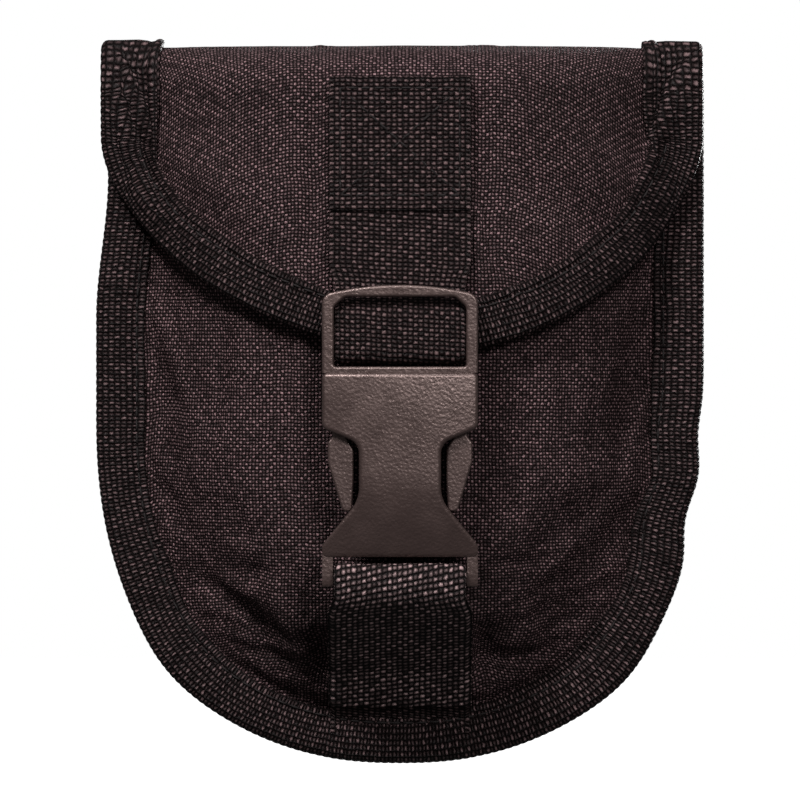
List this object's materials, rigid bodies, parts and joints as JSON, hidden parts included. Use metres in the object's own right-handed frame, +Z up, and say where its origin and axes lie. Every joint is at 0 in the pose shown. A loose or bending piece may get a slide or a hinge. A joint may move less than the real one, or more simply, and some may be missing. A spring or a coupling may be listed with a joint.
{
  "type": "camp shovel belt pouch",
  "caption": "Dark cloth belt pouch for a small folding camp shovel: domed front, taped edges, curved flap and a side-release buckle on webbing, with a belt loop behind.",
  "frame": {"origin": "on the back panel's rear face, at the middle of the belt loop, where the belt lies against the pouch", "axes": "+X across the pouch, to the right seen from the front; -Y out of the front; +Z up"},
  "size_m": [0.1386, 0.0519, 0.1637],
  "materials": {
    "nylon_cloth": "matte",
    "binding_tape": "matte",
    "webbing": "matte",
    "acetal": "satin",
    "thread": "matte"
  },
  "bodies": {
    "pouch": {"back_panel": "nylon_cloth", "front_panel": "nylon_cloth", "mouth_binding": "binding_tape", "body_binding": "binding_tape", "body_seam_thread": "thread", "belt_loop": "webbing", "belt_loop_thread": "thread", "lower_strap_anchor": "webbing"},
    "flap": {"flap_panel": "nylon_cloth", "flap_binding": "binding_tape", "flap_seam_thread": "thread", "strap_patch": "webbing", "patch_thread": "thread", "upper_strap_loop": "webbing"},
    "plug": {"buckle_plug": "acetal"},
    "prong_left": {"plug_prong_left": "acetal"},
    "prong_right": {"plug_prong_right": "acetal"},
    "lower_strap": {"lower_strap_loop": "webbing"},
    "receiver": {"buckle_receiver": "acetal"}
  },
  "joints": [
    {"name": "flap_open", "type": "hinge", "parent": "pouch", "child": "flap", "pos_m": [0, 0, 0.04435], "axis": [-1, 0, 0], "range_deg": [0, 165]},
    {"name": "buckle_release", "type": "slide", "parent": "flap", "child": "plug", "axis": [0, 0, 1], "range_m": [0, 0.0158], "deforming": ["upper_strap_loop"]},
    {"name": "prong_squeeze_right", "type": "hinge", "parent": "plug", "child": "prong_right", "pos_m": [0.0139, -0.0385, -0.0302], "axis": [0, 1, 0], "range_deg": [0, 8], "stiffness_Nm_per_rad": 0.6},
    {"name": "prong_squeeze_left", "type": "hinge", "parent": "plug", "child": "prong_left", "pos_m": [-0.0139, -0.0385, -0.0302], "axis": [0, -1, 0], "range_deg": [0, 8], "stiffness_Nm_per_rad": 0.6},
    {"name": "strap_swing", "type": "hinge", "parent": "pouch", "child": "lower_strap", "pos_m": [0, -0.00838, -0.10218], "axis": [1, 0, 0], "range_deg": [0, 120], "stiffness_Nm_per_rad": 0.02, "springref_deg": -17.19},
    {"name": "receiver_draw", "type": "slide", "parent": "lower_strap", "child": "receiver", "axis": [0, 0, -1], "range_m": [0, 0.0158], "deforming": ["lower_strap_loop"]}
  ],
  "couplings": [
    {"joint": "prong_squeeze_left", "follows": "prong_squeeze_right", "ratio": 1},
    {"joint": "receiver_draw", "follows": "buckle_release", "ratio": 1}
  ]
}
